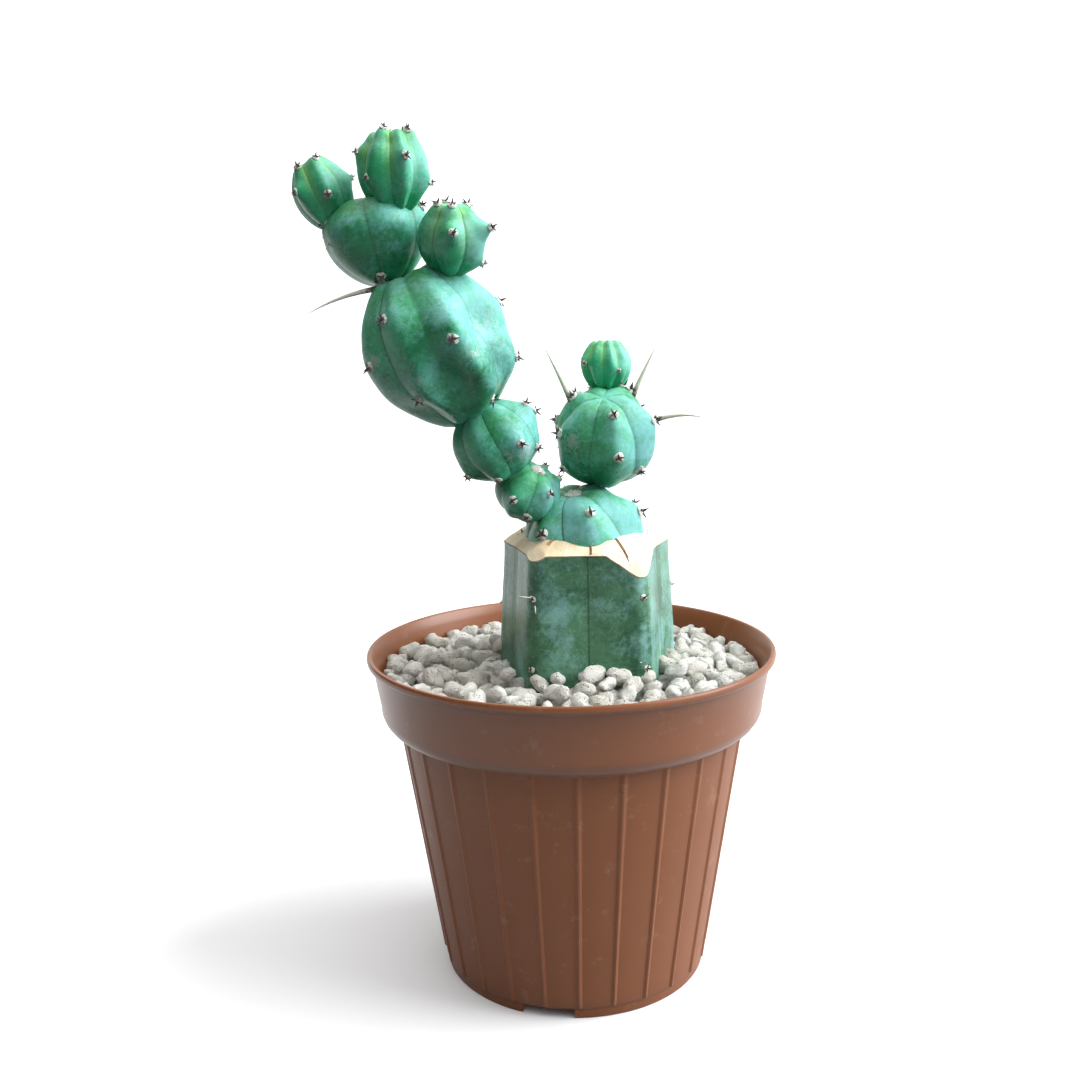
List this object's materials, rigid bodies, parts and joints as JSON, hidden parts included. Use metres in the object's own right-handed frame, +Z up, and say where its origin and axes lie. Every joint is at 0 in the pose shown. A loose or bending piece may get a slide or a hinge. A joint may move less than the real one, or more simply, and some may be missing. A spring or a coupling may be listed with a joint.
{
  "type": "potted grafted cactus",
  "caption": "Grafted branching cactus on a cut ribbed rootstock, in a ribbed plastic nursery pot topped with pumice.",
  "frame": {"origin": "centre of the whole plant's bounding box in plan, at the height of the pot's foot ring", "axes": "+Z up along the pot's axis, -Y towards the side that the picture was taken from, -X towards the leaning branch"},
  "size_m": [0.1332, 0.12, 0.2416],
  "materials": {
    "pot_plastic": "satin",
    "potting_mix": "matte",
    "pumice": "rough",
    "rootstock_skin": "waxy",
    "stem_skin": "waxy",
    "bud_skin": "waxy",
    "spine_horn": "satin"
  },
  "bodies": {
    "root": {"crown_bud_centre": "bud_skin", "crown_bud_left": "bud_skin", "crown_bud_right": "bud_skin", "crown_segment": "stem_skin", "left_offset_large": "stem_skin", "left_offset_lower": "stem_skin", "left_offset_middle": "stem_skin", "long_spine_large_offset": "spine_horn", "long_spine_right_offset_left": "spine_horn", "long_spine_right_offset_right": "spine_horn", "long_spine_right_offset_side": "spine_horn", "pot": "pot_plastic", "potting_mix": "potting_mix", "pumice_bed": "pumice", "pumice_stone_01": "pumice", "pumice_stone_02": "pumice", "pumice_stone_03": "pumice", "pumice_stone_04": "pumice", "pumice_stone_05": "pumice", "pumice_stone_06": "pumice", "pumice_stone_07": "pumice", "pumice_stone_08": "pumice", "pumice_stone_09": "pumice", "pumice_stone_10": "pumice", "pumice_stone_11": "pumice", "pumice_stone_12": "pumice", "pumice_stone_13": "pumice", "pumice_stone_14": "pumice", "pumice_stone_15": "pumice", "pumice_stone_16": "pumice", "pumice_stone_17": "pumice", "pumice_stone_18": "pumice", "right_offset": "stem_skin", "right_offset_bud": "bud_skin", "rootstock": "rootstock_skin", "scion_base": "stem_skin", "short_spine_crown": "spine_horn", "stock_spine_front_left_a": "spine_horn", "stock_spine_front_left_b": "spine_horn", "stock_spine_front_right_a": "spine_horn", "stock_spine_front_right_b": "spine_horn", "stock_spine_right_a": "spine_horn", "stock_spine_right_b": "spine_horn"}
  },
  "joints": []
}
